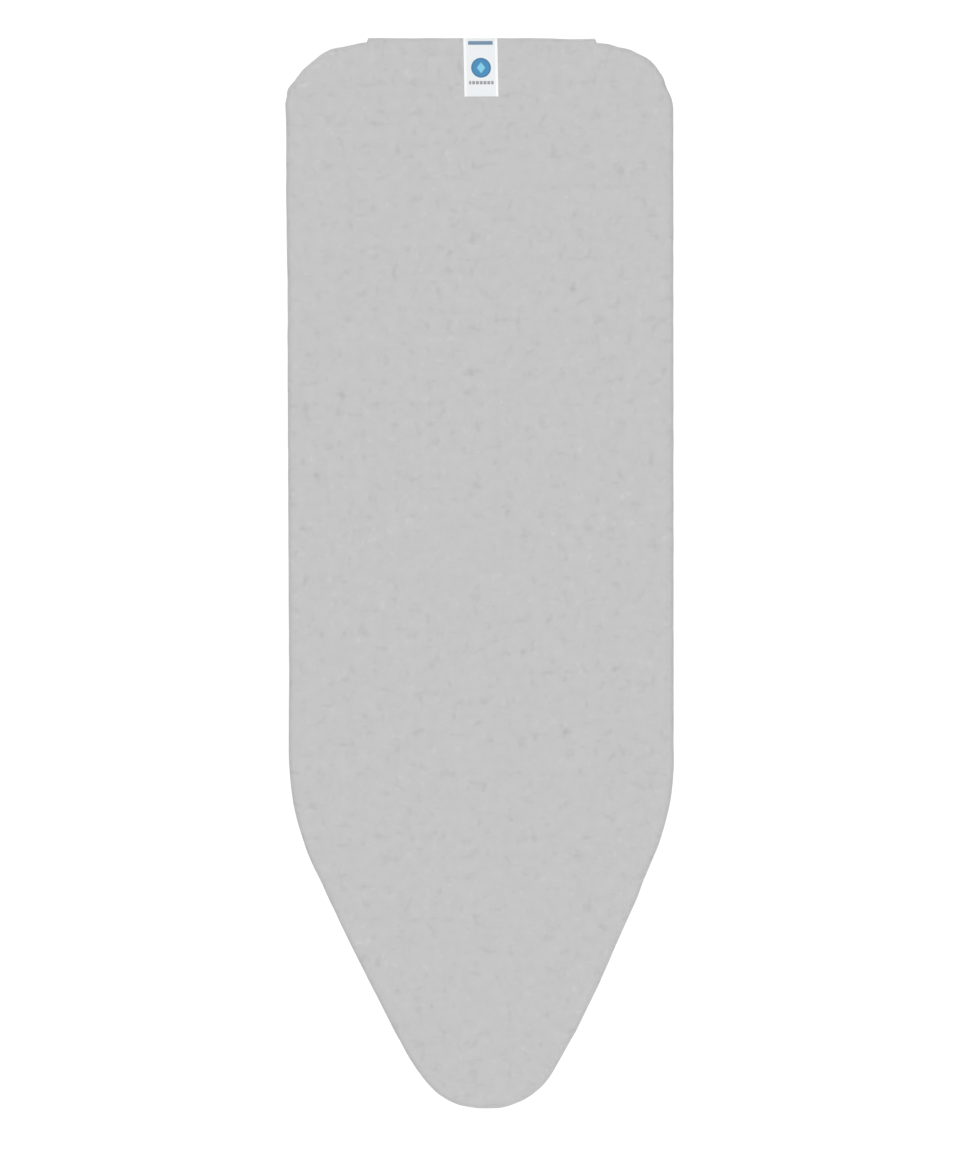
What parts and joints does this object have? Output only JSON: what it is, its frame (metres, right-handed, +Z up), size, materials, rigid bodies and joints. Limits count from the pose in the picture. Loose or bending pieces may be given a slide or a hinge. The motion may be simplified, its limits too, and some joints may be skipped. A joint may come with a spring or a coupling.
{
  "type": "ironing board cover",
  "caption": "Padded ironing board cover with foam and felt layers, a gathered drawcord skirt, a cord lock and an elastic strap.",
  "frame": {"origin": "on the table, under the middle of the cover's length and width", "axes": "+Z up through the ironing face, +Y along the cover to its wide rear end, -Y to its nose, X across it"},
  "size_m": [0.452, 1.247, 0.0368],
  "materials": {
    "cover_cotton": "metallised plain-weave cotton, silver grey, faint sheen",
    "foam": "open-cell foam",
    "felt": "needled felt with fine flecks",
    "label": "woven satin label, white with plain blue marks",
    "binding_tape": "woven binding tape, gathered",
    "cord": "braided polyester cord",
    "lock_plastic": "moulded acetal, fine spark texture",
    "spring_steel": "drawn spring wire",
    "elastic": "ribbed elastic webbing",
    "hook_plastic": "moulded acetal, satin"
  },
  "bodies": {
    "cover": {"cover_cloth": "cover_cotton", "foam_layer": "foam", "felt_layer": "felt", "label": "label", "cord_casing_nose": "binding_tape", "cord_casing_rear_left": "binding_tape", "cord_casing_rear_right": "binding_tape", "drawcord": "cord", "cord_end": "lock_plastic", "elastic_strap": "elastic"},
    "cord_lock": {"cord_lock_body": "lock_plastic", "cord_lock_spring": "spring_steel"},
    "lock_plunger": {"cord_lock_plunger": "lock_plastic"},
    "hook_left": {"strap_hook_left": "hook_plastic"},
    "hook_right": {"strap_hook_right": "hook_plastic"}
  },
  "joints": [
    {"name": "lock_slide", "type": "slide", "parent": "cover", "child": "cord_lock", "axis": [0, -1, 0], "range_m": [0, 0.024]},
    {"name": "plunger_press", "type": "slide", "parent": "cord_lock", "child": "lock_plunger", "axis": [-1, 0, 0], "range_m": [0, 0.003], "stiffness_N_per_m": 400, "springref_m": -0.003, "deforming": ["cord_lock_spring"]},
    {"name": "hook_left_swing", "type": "hinge", "parent": "cover", "child": "hook_left", "pos_m": [-0.13778, 0.12, 0.0033], "axis": [0, -1, 0], "range_deg": [0, 25]},
    {"name": "hook_right_swing", "type": "hinge", "parent": "cover", "child": "hook_right", "pos_m": [0.13778, 0.12, 0.0033], "axis": [0, 1, 0], "range_deg": [0, 25]}
  ]
}
